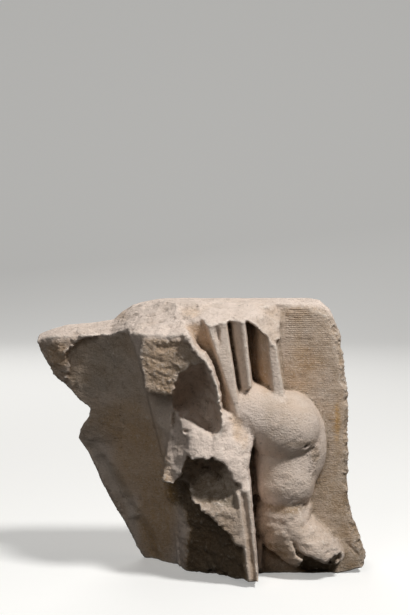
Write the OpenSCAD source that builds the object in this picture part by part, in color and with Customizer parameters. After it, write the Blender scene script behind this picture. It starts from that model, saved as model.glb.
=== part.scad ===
// Fragment of a carved limestone corbel: a crouching figure's bent leg and pleated
// skirt against a combed slab, with a broken shaft in front and a plain splayed
// wall on the left. One block of stone, cut flat where it is built into the wall.

/* [Block] */
// Height from the underside to the top bed
block_height = 285; // [240:1:340]
// How far the nose of the shaft stands out from the wall face
block_reach = 150; // [126:1:180]
// How far the broken left wing runs out from the middle
wing_width = 181; // [155:1:215]
// How far the slab runs out to the right of the middle
slab_width = 149; // [132:1:180]

/* [Slab] */
// Thickness of the combed slab behind the leg
slab_reach = 82; // [66:1:98]
// How far the foot of the slab flares past its side
slab_flare = 20; // [2:1:26]
// Size of the break at the slab's top corner
corner_break = 28; // [10:1:36]

/* [Top break] */
// How far back the broken slope of the top runs from the nose
slope_run = 72; // [56:1:84]
// How far the broken slope falls below the top bed
slope_drop = 28; // [20:1:34]
// How far the wing's broken top lies below the top bed
wing_drop = 27; // [20:1:34]

/* [Left wall] */
// Reach of the left wall where it meets the shaft at the top
wall_reach_top = 76; // [62:1:92]
// Reach of the left wall where it meets the shaft at the underside
wall_reach_foot = 46; // [38:1:56]
// Hollowness of the left wall
wall_sag = 6; // [0:0.5:12]
// Width of the cavetto along the wall's broken edge
cavetto_width = 22; // [14:1:30]

/* [Shaft] */
// Length of the broken stump, down from the top
stump_length = 64; // [54:1:80]
// How far the stump stands out from the shaft's smooth left face
stump_relief = 20; // [10:1:26]
// Width of the oval hollow
hollow_width = 47; // [36:1:54]
// Height of the oval hollow
hollow_height = 82; // [68:1:98]
// Depth of the oval hollow
hollow_depth = 36; // [20:1:44]
// Width of the moulded strip on the nose
strip_width = 17; // [12:1:21]
// Depth of the groove between the strip's two fillets
strip_groove = 4; // [1:0.5:6]

/* [Skirt] */
// Number of pleats
pleat_count = 3; // [2:1:4]
// Width of one pleat's flat band
pleat_width = 11; // [8:1:14]
// Distance from one pleat to the next
pleat_pitch = 21; // [16:1:24]
// Depth of the grooves between the pleats
pleat_depth = 13; // [6:1:16]
// Length of the pleats
pleat_length = 78; // [62:1:90]

/* [Leg] */
// Radius of the knee
knee_radius = 35; // [28:1:42]
// Radius of the calf under the knee
calf_radius = 32; // [25:1:38]
// Radius of the ankle
ankle_radius = 25; // [20:1:30]
// Length of the foot from the ankle to the toes
foot_length = 50; // [40:1:60]
// Thickness of the foot at the toes
toe_height = 26; // [20:1:32]

/* [Hidden] */
ball_fn = 28;
hollow_fn = 40;
stone = "#c9bda6";

// How far one solid runs into the next, and how far a cut runs on outside the block
overlap = 1;
beyond = 30;

// Levels of the carving above the underside
slope_level = block_height - slope_drop;
stump_level = slope_level - stump_length;
hollow_head = 24;
hollow_level = slope_level - hollow_height / 2 - hollow_head;
break_level = block_height * 0.38;
strip_level = block_height * 0.345;
nose_level = 8;
knee_level = block_height * 0.552;
ankle_level = block_height * 0.26;

// Edges that lean, as pairs of level and place across from the middle
shaft_left = [[0, -28], [60, -33], [115, -43], [170, -55], [215, -66], [block_height, -80]];
shaft_front = [[0, 30], [break_level, -20], [stump_level, -32], [block_height, -34]];
nose_right = [[0, 55], [strip_level, 46], [strip_level + 50, 50], [slope_level, 72]];
nose_left = nose_right[0][1] - strip_width;
lip = [[strip_level, 46], [knee_level - 18, 46], [stump_level, 17], [slope_level, -12]];
lean = 10.5;

// Left wall: its far edge as shares of the wing's width, its reach there, and its fillet into the shaft
wall_far_foot = 0.58;
wall_far_lean = 0.55;
wall_far_reach = 8;
wall_far_rise = 26;
wall_fillet = 14;
wall_lap = 12;
behind_shaft = 40;

// Shaft's front: depth of its arris on the left, of the chamfer there and of its right flank
arris_back = 34;
arris_chamfer = 26;
arris_run = 10;
flank_back = 16;
flank_back_top = 30;

// Skirt: the place and the turn of its first fold, and the depth of the core behind the pleats
skirt_x = 10;
skirt_back = 32;
skirt_turn = 22;
skirt_margin = 8;
hem_slant = 8;

// Places of the leg across the slab, and how far its joints stand out and lie apart
thigh_x = 50;
thigh_rise = 22;
thigh_share = 0.9;
knee_x = 88;
knee_out = 18;
calf_drop = 14;
ankle_x = 84;
ankle_out = 6;
heel_drop = 22;
heel_share = 0.72;

// A point of the block, given its place across, its reach from the wall and its level
function at(x, reach, level) = [x, -reach, level];
// A point of the skirt, given its place along the pleats, how far it stands out and its level
function skirt(along, out, level) =
    at(skirt_x + along * cos(skirt_turn) + out * sin(skirt_turn) + (slope_level - level) * tan(lean),
       block_reach - skirt_back - along * sin(skirt_turn) + out * cos(skirt_turn), level);
// The reach of the left wall, part of the way from the shaft to its broken edge
function wall_reach(part, level) =
    let (near = wall_reach_foot + (wall_reach_top - wall_reach_foot) * level / block_height,
         far = wall_far_reach + wall_far_rise * level / block_height)
    near + (far - near) * part - wall_sag * sin(180 * part) + wall_fillet * pow(1 - part, 4);

// The solid that stretches tightly round the given points
module facets(points) {
    hull() polyhedron(points = points, faces = [[for (i = [0 : len(points) - 1]) i]]);
}

// An upright slice of the block, drawn as places across and levels, from one reach to another
module slice(outline, back, front) {
    translate([0, -back, 0]) rotate([90, 0, 0]) linear_extrude(front - back) polygon(outline);
}

// A rounded limb between balls, each given as its place across, reach, level and radius
module limb(balls) {
    hull() for (ball = balls)
        translate(at(ball[0], ball[1], ball[2])) sphere(ball[3], $fn = ball_fn);
}

// Slab with the combed front, chipped down its right side
module slab() {
    w = slab_width;
    h = block_height;
    slice([
        [30, 0], [w - 22, 0], [w - 2, 1.5], [w + slab_flare - 4, 5], [w + slab_flare, 18], [w + slab_flare * 0.8, 34],
        [w + slab_flare * 0.35, h * 0.2], [w + 1, h * 0.27], [w, h * 0.67], [w - 7, h * 0.78],
        [w - 8, h - corner_break], [w - 15, h - corner_break * 0.45], [w - corner_break, h], [30, h]
    ], 0, slab_reach);
}

// Outline of the broken wing: a notch, a bump and a long chipped edge down to the foot
function wing_outline() = let (w = wing_width, h = block_height, top = h - wing_drop) [
    [40, 0], [-w * 0.38, 0], [-w * 0.45, h * 0.1], [-w * 0.57, h * 0.23], [-w * 0.68, h * 0.37],
    [-w * 0.76, h * 0.465], [-w * 0.74, h * 0.5], [-w * 0.68, h * 0.565], [-w * 0.69, h * 0.59],
    [-w * 0.75, h * 0.615], [-w * 0.9, h * 0.71], [-w * 0.96, h * 0.77], [-w, h * 0.83],
    [-w * 0.995, h * 0.86], [-w * 0.88, top - 4], [-w * 0.68, top + 1], [-w * 0.55, top + 4],
    [-w * 0.5, top + 12], [-w * 0.4, h - 4], [-w * 0.3, h], [40, h]
];

// Left wing with its splayed, slightly hollow wall
module wing() {
    steps = 6;
    levels = 4;
    bed_edge = 20;
    bed_fall = 26;
    function front(i, j) =
        let (part = i / steps, level = -overlap + (block_height + 2 * overlap) * j / levels,
             near = lookup(level, shaft_left) + wall_lap,
             far = -wing_width * (wall_far_foot + wall_far_lean * level / block_height))
        i < 0 ? at(near + slab_width + wall_lap, behind_shaft, level)
            : at(near + (far - near) * part, wall_reach(part, level), level);
    difference() {
        slice(wing_outline(), 0, block_reach);
        for (i = [-1 : steps - 1], j = [0 : levels - 1])
            facets([for (a = [i, i + 1], b = [j, j + 1], ahead = [0, 1])
                let (p = front(a, b)) [p[0], ahead == 0 ? p[1] : -block_reach - overlap, p[2]]]);
        // cavetto beside the broken edge, below the bump
        hull() for (end = [[-wing_width * 0.66, 24, 0.5], [-wing_width * 0.32, 18, 0]])
            translate(at(end[0], end[1] + cavetto_width * 0.55, block_height * end[2]))
                sphere(cavetto_width / 2, $fn = ball_fn);
        // broken slope of the wing's top, falling forward from the wall
        facets([for (x = [-wing_width - overlap, -wing_width * 0.39])
            each [at(x, block_reach, block_height + overlap), at(x, 0, block_height + overlap),
                  at(x, bed_edge, block_height - wing_drop),
                  at(x, block_reach, block_height - wing_drop - bed_fall)]]);
    }
}

// Shaft before it was broken: leaning left arris, flat front and right flank
module shaft_core() {
    levels = [nose_level, for (edge = [1 : len(shaft_left) - 2]) shaft_left[edge][0], block_height - overlap];
    back = 10;
    function arris_reach(level) =
        wall_reach_foot + nose_level + (block_reach - arris_back - wall_reach_foot) * level / block_height;
    for (k = [0 : len(levels) - 2])
        facets([for (level = [levels[k], levels[k + 1]])
            each [
                at(lookup(level, shaft_left) + overlap, back, level),
                at(lookup(level, shaft_left), arris_reach(level) - arris_chamfer, level),
                at(lookup(level, shaft_left) + arris_run, arris_reach(level), level),
                at(lookup(level, shaft_front), block_reach, level),
                at(min(lookup(level, nose_right), lookup(level, lip)), block_reach - overlap, level),
                at(lookup(level, nose_right) - overlap,
                   block_reach - (level > stump_level ? flank_back_top : flank_back), level),
                at(lookup(level, nose_right), slab_reach - overlap, level),
                at(lookup(level, nose_right), back, level)
            ]]);
}

// Valley between the hollow's right lip and the first pleat
module valley() {
    foot = knee_level - 4;
    lip_width = 8;
    depth = 36;
    facets([for (level = [foot, stump_level, block_height])
        each [at(lookup(level, lip) + overlap, block_reach + overlap, level),
              at(lookup(level, lip) + lip_width, level == foot ? block_reach : block_reach - depth, level),
              skirt(pleat_pitch * pleat_count, level == foot ? pleat_depth * 2 : -pleat_depth, level),
              at(slab_width, slab_reach + overlap, level), at(slab_width, block_reach + overlap, level)]]);
}

// Deep oval hollow, leaning with the shaft
module hollow() {
    centre = -2;
    translate(at(centre, block_reach + overlap, hollow_level)) rotate([0, lean, 0])
        scale([hollow_width / 2, hollow_depth, hollow_height / 2]) sphere(1, $fn = hollow_fn);
}

// Lower break: a concave scoop under the lump, then a facet down to the nose
module lower_break() {
    left = -60;
    ahead = block_reach + beyond;
    // scoop, from its arched top down to the facet
    facets([
        at(left, ahead, break_level + 26), at(-16, ahead, break_level + 30), at(34, ahead, break_level + 4),
        at(left, slab_reach - 4, break_level + 4), at(-20, slab_reach + 22, break_level + 2),
        at(22, block_reach - 18, break_level - 8), at(left, slab_reach - 8, break_level - 24),
        at(0, block_reach - 32, break_level - 34), at(nose_left - 2, block_reach - 4, break_level - 22),
        at(nose_left, ahead, break_level - 40)
    ]);
    // steep break from the facet down to the underside
    facets([
        at(left, 30, -overlap), at(left, ahead, -overlap), at(-30, 60, -overlap),
        at(nose_left - 6, block_reach - 6, -overlap), at(nose_left - 4, ahead, -overlap),
        at(left, slab_reach - 8, break_level), at(left, ahead, break_level),
        at(-36, slab_reach - 2, break_level - 20), at(-8, block_reach - 12, break_level - 30),
        at(0, ahead, break_level - 20), at(nose_left - 12, block_reach - 2, break_level - 63)
    ]);
}

// Recess of the smooth left face under the stump
module stump_undercut() {
    left = -90;
    face_width = 20;
    facets([for (level = [break_level, stump_level])
        each [at(left, wall_reach_top - 16, level), at(left, block_reach + beyond, level),
              at(lookup(level, shaft_left) + wall_lap, block_reach - stump_relief - arris_back, level),
              at(lookup(level, shaft_left) + wall_lap + face_width, block_reach - stump_relief, level),
              at(lookup(level, shaft_left) + wall_lap + arris_chamfer, block_reach + beyond, level)]]);
}

// Groove between the two fillets of the strip that runs down the nose
module strip_cut() {
    third = strip_width / 3;
    facets([for (end = [[0, nose_right[0][1]], [strip_level, nose_right[1][1]]], side = [1, 2])
        each [at(end[1] - third * side, block_reach - strip_groove, end[0]),
              at(end[1] - third * side, block_reach + overlap, end[0])]]);
}

module shaft() {
    difference() {
        shaft_core();
        hollow();
        lower_break();
        stump_undercut();
        strip_cut();
        valley();
    }
}

// Skirt over the thigh: a sloping core with pleats that end in pointed hems
module skirt_folds() {
    hem = slope_level - pleat_length;
    top = block_height;
    span = pleat_pitch * pleat_count;
    last = span - skirt_margin / 2;
    root = -pleat_depth - skirt_margin;
    facets([for (level = [hem, top])
        each [skirt(-skirt_margin, -pleat_depth, level), skirt(last, -pleat_depth, level),
              at(skirt(last, 0, level)[0], slab_reach - skirt_margin, level), at(skirt_x * 2, skirt_x * 2, level)]]);
    for (i = [0 : pleat_count - 1])
        facets([for (along = [i * pleat_pitch, i * pleat_pitch + pleat_width], out = [root, 0])
            each [skirt(along, out, top), skirt(along, out, hem + (along > i * pleat_pitch ? 0 : hem_slant))]]);
}

// Bent leg: thigh to the knee, calf behind it, ankle and a foot with a cleft between its toes
module leg() {
    ball = toe_height / 2;
    big_toe = [ankle_x + foot_length * 0.28, slab_reach + foot_length * 0.84, ball + 11, ball];
    small_toes = [ankle_x + foot_length * 0.84, slab_reach + foot_length * 0.56, ball + 19, ball];
    inner_toes = small_toes + [-16, 6, -4, 0];
    heel = [ankle_x - 8, slab_reach + 14, ankle_level - heel_drop, ankle_radius * heel_share];
    instep = [ankle_x, slab_reach + ankle_out, ankle_level, ankle_radius];
    limb([[thigh_x, slab_reach, knee_level + thigh_rise, knee_radius * thigh_share],
          [knee_x, slab_reach + knee_out, knee_level, knee_radius]]);
    limb([[knee_x, slab_reach, knee_level - calf_drop, calf_radius], instep]);
    limb([instep, heel, big_toe]);
    limb([instep, small_toes, inner_toes]);
}

// Broken slope across the front of the top bed
module top_break() {
    left = -120;
    right = slab_width - slope_run;
    pitch = slope_drop / slope_run;
    facets([for (x = [left, right])
        each [at(x, block_reach - slope_run, block_height), at(x, block_reach - slope_run, block_height + overlap),
              at(x, block_reach + beyond, block_height + overlap),
              at(x, block_reach + beyond, slope_level - pitch * beyond)]]);
}

module corbel() {
    color(stone) translate([0, 0, -block_height / 2]) {
        slab();
        difference() {
            union() {
                wing();
                shaft();
                skirt_folds();
            }
            top_break();
        }
        leg();
    }
}

corbel();
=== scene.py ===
import math

import bpy
import numpy as np
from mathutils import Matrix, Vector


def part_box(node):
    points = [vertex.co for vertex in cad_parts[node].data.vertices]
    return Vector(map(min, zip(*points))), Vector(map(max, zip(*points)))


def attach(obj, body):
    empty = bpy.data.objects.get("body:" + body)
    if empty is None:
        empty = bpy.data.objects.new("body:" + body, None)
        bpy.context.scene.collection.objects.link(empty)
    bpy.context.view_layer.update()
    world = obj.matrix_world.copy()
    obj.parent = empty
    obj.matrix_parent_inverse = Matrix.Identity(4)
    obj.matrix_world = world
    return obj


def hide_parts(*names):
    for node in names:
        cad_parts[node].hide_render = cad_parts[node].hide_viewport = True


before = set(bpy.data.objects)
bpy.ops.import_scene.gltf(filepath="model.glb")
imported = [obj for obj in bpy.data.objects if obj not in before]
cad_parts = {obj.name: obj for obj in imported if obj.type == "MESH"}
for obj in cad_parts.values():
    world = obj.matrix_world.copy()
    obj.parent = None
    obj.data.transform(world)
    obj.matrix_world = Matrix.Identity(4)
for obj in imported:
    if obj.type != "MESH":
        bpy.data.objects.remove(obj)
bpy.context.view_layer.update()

import openvdb
from mathutils import Vector
from mathutils.geometry import delaunay_2d_cdt

stoneLow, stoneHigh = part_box("corbel")
mm = 0.001

# Sizes of the stone are in millimetres. Across runs from the block's middle to the right, level is
# measured up from the underside, and reach is measured out from the wall face.

block = {
    "height": 1000 * (stoneHigh[2] - stoneLow[2]),
    "reach": -1000 * stoneLow[1],
    "grain": 1.25,  # spacing of the carving grid
    "margin": 8,  # room round the block in that grid
    "faces": 178000,  # triangles kept after thinning
}
mapGrain = block["grain"] / 2

across = np.arange(1000 * stoneLow[0] - block["margin"], 1000 * stoneHigh[0] + block["margin"],
                   block["grain"], dtype=np.float32)
reach = np.arange(-block["margin"], block["reach"] + block["margin"], block["grain"], dtype=np.float32)
level = np.arange(-block["margin"], block["height"] + block["margin"], block["grain"], dtype=np.float32)
gridSize = (across.size, reach.size, level.size)
mapAcross = across[0] + mapGrain * np.arange(2 * across.size, dtype=np.float32)[:, None]
mapLevel = level[0] + mapGrain * np.arange(2 * level.size, dtype=np.float32)[None, :]
across, reach, level = across[:, None, None], reach[None, :, None], level[None, None, :]
print("carving grid", gridSize)


def stops(pairs, at):
    # piecewise straight value through pairs of (place, value)
    return np.interp(at, [p[0] for p in pairs], [p[1] for p in pairs]).astype(np.float32)


def soften(field, size):
    # blur of a map over about size millimetres
    cells = max(1, int(round(2 * size / mapGrain)))
    weights = np.exp(-0.5 * (np.arange(-cells, cells + 1) * mapGrain / size) ** 2)
    weights /= weights.sum()
    for axis in (0, 1):
        padded = np.pad(field, [(cells, cells) if a == axis else (0, 0) for a in (0, 1)], "edge")
        field = sum(w * np.take(padded, range(i, i + field.shape[axis]), axis)
                    for i, w in enumerate(weights))
    return field.astype(np.float32)


def rockNoise(seed, longest, shortest, fall, stretch=(1, 1, 1)):
    # tiling random field whose bumps run from longest to shortest, and shrink as they get finer;
    # stretch lengthens them across, outward and upward
    n = 128  # cells in one tile
    grain = block["grain"]
    rng = np.random.default_rng(seed)
    waves = np.fft.rfftn(rng.standard_normal((n, n, n)).astype(np.float32))
    steps = [np.fft.fftfreq(n, grain), np.fft.fftfreq(n, grain), np.fft.rfftfreq(n, grain)]
    a, b, c = np.meshgrid(*[s * k for s, k in zip(steps, stretch)], indexing="ij", sparse=True)
    pace = np.sqrt(a * a + b * b + c * c)
    gain = np.where((pace > 1 / longest) & (pace < 1 / shortest), np.maximum(pace, 1e-4) ** -fall, 0)
    field = np.fft.irfftn(waves * gain, s=(n, n, n)).astype(np.float32)
    field /= field.std()
    for axis, size in enumerate(gridSize):
        field = np.take(field, np.arange(size) % n, axis)
    return field


roughBreak = rockNoise(3, 26, 2.6, 2.5, (1.5, 1, 0.7))  # bedded rock breaks longer across than up
grit = rockNoise(11, 6, 2.6, 1.2, (1.3, 1, 0.8))
softWear = rockNoise(5, 40, 6, 2.4)
print("noise made")

# The block's front is a map of reach over (across, level), painted facet by facet. Beside it go maps of
# how each place is finished, and of where shade is painted into its colour.

usual = {
    "rough": 0,  # 0 for a worked face, 1 for the roughest break
    "smooth": 0,  # 1 where arrises are worn round
    "agedAndShaded": 0.4,  # 0 for a pale break, 1 for old dark skin; high values also paint shade into hollows, grooves and undersides
    "brown": 0.5,  # hue of that skin, 0 grey to 1 brown
    "ragged": 1,  # how far a break's edges wander
}
reliefMap = np.full((mapAcross.size, mapLevel.size), -30, np.float32)
roughMap = np.zeros_like(reliefMap)
smoothMap = np.zeros_like(reliefMap)
agedAndShadedMap = np.full_like(reliefMap, usual["agedAndShaded"])
brownMap = np.full_like(reliefMap, usual["brown"])
raggedMap = np.zeros_like(reliefMap)
everywhere = np.ones_like(reliefMap, bool)


def paint(where, value, rough=0.0, agedAndShaded=usual["agedAndShaded"], brown=usual["brown"]):
    reliefMap[where] = value[where]
    roughMap[where] = rough
    smoothMap[where] = 0
    agedAndShadedMap[where] = agedAndShaded
    brownMap[where] = brown


def mapCells(places, start):
    # first and last cell of the map that cover some places
    return int((min(places) - start) / mapGrain), int((max(places) - start) / mapGrain) + 2


def paintFacet(facet, base=0 * reliefMap):
    # a surface through rim and inside points, each (across, level, reach over the base)
    spots = facet["rim"] + facet.get("inside", [])
    flat = [Vector(spot[:2]) for spot in spots]
    corners, _, tris, origin, _, _ = delaunay_2d_cdt(flat, [], [list(range(len(facet["rim"])))], 1, 1e-5)
    for tri in tris:
        a, b, c = [(corners[i].x, corners[i].y, spots[origin[i][0]][2]) for i in tri]
        i0, i1 = mapCells((a[0], b[0], c[0]), mapAcross[0, 0])
        k0, k1 = mapCells((a[1], b[1], c[1]), mapLevel[0, 0])
        i0, k0 = max(i0, 0), max(k0, 0)
        x, z = mapAcross[i0:i1], mapLevel[:, k0:k1]
        span = (b[1] - c[1]) * (a[0] - c[0]) + (c[0] - b[0]) * (a[1] - c[1])
        if abs(span) < 1e-6:
            continue
        u = ((b[1] - c[1]) * (x - c[0]) + (c[0] - b[0]) * (z - c[1])) / span
        v = ((c[1] - a[1]) * (x - c[0]) + (a[0] - c[0]) * (z - c[1])) / span
        inside = (u >= -1e-3) & (v >= -1e-3) & (u + v <= 1.001)
        here = (slice(i0, i1), slice(k0, k1))
        value = base[here] + u * a[2] + v * b[2] + (1 - u - v) * c[2]
        reliefMap[here] = np.where(inside, value, reliefMap[here])
        for key, field in zip(usual, (roughMap, smoothMap, agedAndShadedMap, brownMap, raggedMap)):
            field[here] = np.where(inside, facet.get(key, usual[key]), field[here])


def outlineDistance(points, a, b):
    # signed distance to a flat outline, negative inside
    near = np.full(np.broadcast(a, b).shape, 1e9, np.float32)
    inside = np.zeros(near.shape, bool)
    for (ax, ay), (bx, by) in zip(points, points[1:] + points[:1]):
        ex, ey = bx - ax, by - ay
        t = np.clip(((a - ax) * ex + (b - ay) * ey) / (ex * ex + ey * ey), 0, 1)
        near = np.minimum(near, (a - ax - t * ex) ** 2 + (b - ay - t * ey) ** 2)
        if ey:
            inside ^= ((b < ay) != (b < by)) & (a < ax + (b - ay) * ex / ey)
    return np.where(inside, -np.sqrt(near), np.sqrt(near)).astype(np.float32)


silhouette = [(-66, 0), (-68, 3), (-82, 28), (-91, 45), (-103, 65), (-113, 84), (-121, 103),
              (-127, 116), (-138, 132), (-135, 143), (-125, 158), (-123, 167), (-134, 176), (-148, 190),
              (-163, 203), (-173, 222), (-181, 238), (-180, 246), (-170, 251), (-150, 257), (-120, 259),
              (-99, 262), (-91, 271), (-72, 280), (-50, 285), (112, 285), (124, 283), (135, 272),
              (141, 254), (143, 232), (146, 210), (149.5, 188), (149, 150), (149, 110), (149.5, 78),
              (155, 58), (162, 40), (169, 18), (166, 6), (147, 1), (127, 0)]

slab = {
    "reach": 82,
    "left": 20,
    # margin: where the chips down the right side begin, by level
    "margin": [(0, 160), (18, 163), (40, 156), (60, 149), (78, 144.5), (110, 144.5), (150, 145),
               (188, 145), (210, 140.5), (232, 137), (254, 133), (272, 124), (283, 108), (290, 96)],
    "marginFall": 0.75,
    "marginCurve": 1.15,
    "chipSeed": 8,
    "chipWander": 2.2,  # how unevenly that line of chips runs
    "rough": 0.1,
    "marginRough": 0.7,
    "agedAndShaded": [(0, 0.85), (120, 0.76), (200, 0.66), (290, 0.62)],
}
x, z = mapAcross, mapLevel
bites = np.random.default_rng(slab["chipSeed"]).uniform(-1, 1, 64)
biteLine = np.interp(mapLevel, np.linspace(-8, 300, 64), bites) * slab["chipWander"]
pastMargin = x - stops(slab["margin"], z) - biteLine
front = slab["reach"] - slab["marginFall"] * np.maximum(0, pastMargin) ** slab["marginCurve"]
slabOn = (x > slab["left"]) & everywhere
paint(slabOn, front + 0 * z)
agedAndShadedMap = np.where(slabOn, stops(slab["agedAndShaded"], z), agedAndShadedMap).astype(np.float32)
marginBand = np.clip(pastMargin / 3, 0, 1)
roughMap = np.where(slabOn, slab["rough"] + slab["marginRough"] * marginBand, roughMap).astype(np.float32)
print("slab painted")

wall = {
    "nearAcross": [(0, -26), (66, -34), (98, -42), (121, -44), (142, -49), (165, -55), (197, -61),
                   (226, -68), (253, -80), (290, -92)],
    "nearReach": [(0, 47), (68, 58), (121, 70), (165, 78), (253, 78), (290, 80)],
    "farAcross": [(0, -72), (290, -178)],
    "farReach": [(0, 9), (120, 16), (240, 32), (290, 34)],
    "sag": 6,
    "overlap": 14,  # how far the wall runs on behind the shaft
    "behindShaft": 64,  # reach of the ground that the shaft's breaks are laid over
    # the wall's skin is partly patina; low down, where the shaft's shadow falls, it is painted paler as
    # painted light, and it grows darker and greyer towards the top
    "brown": [(0, 0.6), (40, 0.8), (100, 0.95), (150, 0.75), (190, 0.4), (290, 0.3)],
    "agedAndShaded": [(0, 0.12), (100, 0.04), (150, 0.34), (180, 0.58), (290, 0.66)],
}
near, far = stops(wall["nearAcross"], z), stops(wall["farAcross"], z)
part = (x - near) / (far - near)
front = stops(wall["nearReach"], z) * (1 - part) + stops(wall["farReach"], z) * part
front = front - wall["sag"] * np.sin(np.pi * np.clip(part, 0, 1))
wallFront = np.minimum(front, slab["reach"]) + 0 * reliefMap
wallOn = (x < near + wall["overlap"]) & everywhere
paint(wallOn, wallFront, rough=0.12)
brownMap = np.where(wallOn, stops(wall["brown"], z), brownMap).astype(np.float32)
agedAndShadedMap = np.where(wallOn, stops(wall["agedAndShaded"], z), agedAndShadedMap).astype(np.float32)
# the ground behind the shaft's breaks, seen only through gaps in shade, is painted dark as shade
paint(~wallOn & ~slabOn, wall["behindShaft"] + 0 * front, agedAndShaded=0.9)

# breaks in the wall, with reach measured from the smooth wall
wallBreaks = [
    # rough bedded margin at the far top corner
    {"rim": [(-81, 253, 1), (-100, 252, 4), (-116, 249, 6), (-128, 246, 6), (-133, 242, 5),
             (-142, 235, 4), (-147, 229, 4), (-149, 223, 4), (-145, 216, 4), (-146, 206, 4),
             (-150, 196, 3), (-168, 190, 1), (-190, 220, 0), (-190, 256, 0), (-150, 268, 0),
             (-100, 275, 0), (-78, 275, 0)],
     "inside": [(-165, 240, 3), (-158, 222, 5), (-155, 205, 3)], "rough": 0.75, "agedAndShaded": 0.4, "brown": 1.0},
    # hollow broken ground beside it
    {"rim": [(-81, 252, -2), (-100, 251, -5), (-116, 248, -6), (-128, 245, -5), (-133, 241, -4),
             (-142, 234, -3), (-146, 222, -2), (-144, 212, -1), (-147, 198, 0), (-138, 186, 0),
             (-122, 180, 0), (-105, 188, 0), (-94, 204, 0), (-84, 226, 0), (-79, 242, 0)],
     "inside": [(-120, 226, -6), (-128, 208, -4), (-108, 210, -4), (-100, 230, -6)],
     "rough": 0.35, "smooth": 0.5, "agedAndShaded": 0.68, "brown": 0.3},
    # low rough swelling above the cavetto
    {"rim": [(-147, 198, 0), (-138, 186, 0), (-122, 180, 1), (-105, 188, 0), (-92, 178, 0),
             (-84, 158, 0), (-90, 138, 0), (-102, 124, 0), (-116, 128.5, 2), (-127, 131.5, 3),
             (-145, 134, 0), (-150, 160, 0)],
     "inside": [(-118, 150, 4), (-112, 166, 5), (-128, 168, 3), (-104, 140, 2), (-128, 145, 4)],
     "rough": 0.35, "smooth": 0.7, "agedAndShaded": 0.55, "brown": 0.6},
    # cavetto along the broken edge
    {"rim": [(-139, 133, 0), (-127, 131, 0), (-116, 129, 0), (-111, 120, 0), (-105, 111, 0),
             (-98, 105, 0), (-91, 96, 0), (-85, 86, 0), (-81, 75, 0), (-75, 62, 0), (-69, 52, 0),
             (-60, 42, 0), (-55, 31, 0), (-51, 20, 0), (-49, 8, 0), (-50, -6, 0), (-66, -6, -2),
             (-69, 8, -2), (-77, 28, -2), (-86, 44, -2), (-93, 61, -2), (-99, 70, -1), (-107, 83, -1),
             (-116, 100, -1), (-123, 112, -1), (-133, 124, 0)],
     "inside": [(-124, 121, -7), (-110, 104, -8), (-100, 90, -8), (-91, 76, -8), (-84, 62, -7),
                (-73, 44, -7), (-63, 28, -7), (-58, 10, -7)], "rough": 0.08, "smooth": 0.3,
     "agedAndShaded": 0.45, "brown": 0.0, "ragged": 0.4},
    # chipped margin outside the cavetto
    {"rim": [(-133, 124, 0), (-123, 112, 1), (-116, 100, 1), (-107, 83, 1), (-99, 70, 1), (-93, 61, 0),
             (-86, 44, 0), (-77, 28, 0), (-69, 8, 0), (-66, -6, 0), (-90, -6, -5), (-118, 60, -5),
             (-140, 110, -5), (-145, 128, -2)],
     "inside": [(-120, 98, -2), (-104, 72, -2)], "rough": 0.6, "agedAndShaded": 0.35, "brown": 0.6},
]
for facet in wallBreaks:
    paintFacet(facet, wallFront)
print("wall painted")

# skirt over the thigh: sections across the pleats at two levels, as (across, reach)
skirt = {
    "topLevel": 268,
    "top": [(-15, 117), (-2, 119), (1, 133), (22, 127), (22.5, 110), (24, 108), (26, 114), (29, 119),
            (32, 122.5), (35, 125), (38, 126.5), (41, 126), (41.6, 98), (43, 90), (49, 91), (54, 104),
            (60.5, 112), (61.5, 117.5), (68, 118), (69.2, 120), (70, 84)],
    "footLevel": 194,
    "foot": [(14, 118), (22, 121), (26, 129), (33.5, 127), (34, 112), (35.5, 109), (37.5, 114.5),
             (39.5, 119), (42, 122.5), (44.5, 125.5), (46.5, 127), (49, 126), (49.6, 99), (51, 91),
             (56, 93), (62, 105), (69.5, 112), (70.5, 117), (80, 116), (81.2, 118.5), (82, 84)],
    "grooveEnd": [(20, 268), (41, 268), (44, 268), (50, 264), (58, 257), (66, 251), (69.5, 243),
                  (71, 247), (78, 249)],  # tops of the grooves
    "leftEdge": -30,
    "rightEdge": [(194, 82), (243, 75), (250, 78), (258, 76), (266, 77.5), (290, 76)],
    "valleyEdge": [(194, 25), (268, 0)],  # left of this the ground between lip and skirt shows
    "capLeft": 21,
    "capRight": 78,
    "capReach": 124,
    "pleatReach": 117,  # nearer the wall than this is a groove, painted darker and browner as shade
    "bottom": 150,
    "hem": [(10, 168), (20, 174), (28, 172), (32, 166), (33.5, 170), (35, 194), (39, 196), (44, 198),
            (48, 201), (50, 203), (53, 204), (60, 199), (70, 191), (76, 188), (83, 185)],
    "groundLeft": 10,  # plain ground under the hem
    "groundRight": 60,
    "groundReach": 90,
    "rough": 0.06,
    "capRough": 0.4,
    "agedAndShaded": (0.27, 0.5),  # on the pleats, and what a groove adds
    "brown": (0.15, 0.75),
}
front = np.zeros_like(reliefMap)
for k, height in enumerate(mapLevel[0]):
    share = (skirt["topLevel"] - height) / (skirt["topLevel"] - skirt["footLevel"])
    section = [(a[0] + (b[0] - a[0]) * share, a[1] + (b[1] - a[1]) * share)
               for a, b in zip(skirt["top"], skirt["foot"])]
    front[:, k] = stops(section, mapAcross[:, 0])
grooveEnd = stops(skirt["grooveEnd"], mapAcross) - mapLevel
capped = (grooveEnd < 0) & (mapAcross > skirt["capLeft"]) & (mapAcross < skirt["capRight"])
front = np.where(capped, np.maximum(front, skirt["capReach"]), front).astype(np.float32)
edgeOfSkirt = stops(skirt["rightEdge"], z)
hem = stops(skirt["hem"], x)
skirtOn = (x > skirt["leftEdge"]) & (x < edgeOfSkirt) & (z > skirt["bottom"]) & (z > hem)
paint(skirtOn, front, rough=skirt["rough"])
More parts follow.
